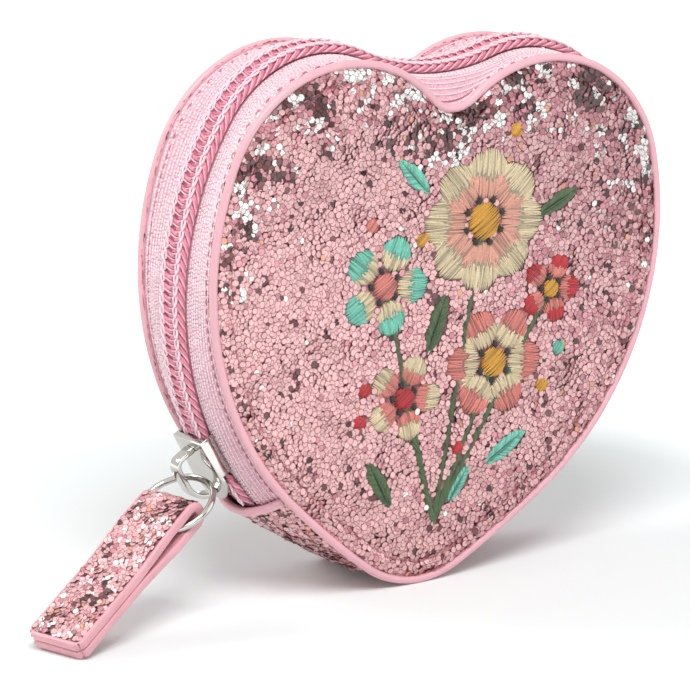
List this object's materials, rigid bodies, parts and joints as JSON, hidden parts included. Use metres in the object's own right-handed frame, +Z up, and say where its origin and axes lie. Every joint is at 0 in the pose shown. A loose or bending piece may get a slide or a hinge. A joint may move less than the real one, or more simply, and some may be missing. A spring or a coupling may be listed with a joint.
{
  "type": "heart shaped zip purse",
  "caption": "Heart shaped coin purse of glitter fabric with piped edges, an embroidered front, a coil zip over the top and a ring with a folded pull tab.",
  "frame": {"origin": "centre of the flat outer face of the back panel", "axes": "+Y out of the back face, +Z up as the purse stands leaning on its tab, +X to the right seen from the front"},
  "size_m": [0.1407, 0.0297, 0.1045],
  "materials": {
    "glitter_fabric": "pink fabric covered in loose hexagonal glitter flakes",
    "piping": "smooth pink synthetic leather, soft sheen",
    "board": "plain white stiffening board",
    "lining": "fine pink woven lining",
    "embroidery_thread": "satin stitch in glossy coloured thread",
    "zip_tape": "woven polyester tape",
    "zip_coil": "pink nylon coil",
    "bright_metal": "bright plated die-cast zinc and steel wire",
    "tab_backing": "split leather backing",
    "edge_paint": "smooth pink edge paint"
  },
  "bodies": {
    "back": {"back_panel": "glitter_fabric", "back_piping": "piping", "back_board": "board", "back_lining": "lining", "zipper_tape_back": "zip_tape", "zipper_coil_back": "zip_coil", "gusset": "glitter_fabric", "gusset_lining": "lining", "zip_binding_left": "piping", "zip_binding_right": "piping"},
    "front": {"front_panel": "glitter_fabric", "front_piping": "piping", "front_board": "board", "front_lining": "lining", "embroidery": "embroidery_thread", "zipper_tape_front": "zip_tape", "zipper_coil_front": "zip_coil"},
    "slider": {"slider_body": "bright_metal", "slider_bail": "bright_metal"},
    "ring": {"pull_ring": "bright_metal"},
    "tab": {"tab_strip": "glitter_fabric", "tab_backing": "tab_backing", "tab_edge_left": "edge_paint", "tab_edge_right": "edge_paint"}
  },
  "joints": [
    {"name": "panel_open", "type": "hinge", "parent": "back", "child": "front", "pos_m": [-0.00333, -0.0243, -0.03221], "axis": [0.9947, 0, -0.1028], "range_deg": [0, 60], "deforming": ["gusset", "gusset_lining", "zip_binding_left", "zip_binding_right", "zipper_tape_front", "zipper_coil_front"]},
    {"name": "slider_travel", "type": "hinge", "parent": "back", "child": "slider", "pos_m": [0.01087, -0.01255, 0.00825], "axis": [0, 1, 0], "range_deg": [0, 55], "deforming": ["zipper_coil_front", "zipper_coil_back"]},
    {"name": "ring_swing", "type": "hinge", "parent": "slider", "child": "ring", "pos_m": [-0.04657, -0.01255, -0.02526], "axis": [0.3804, -0.9235, 0.0502], "range_deg": [-40, 45]},
    {"name": "tab_turn", "type": "hinge", "parent": "ring", "child": "tab", "pos_m": [-0.05227, -0.0151, -0.02893], "axis": [-0.4856, -0.1533, 0.8606], "range_deg": [-35, 55]}
  ]
}
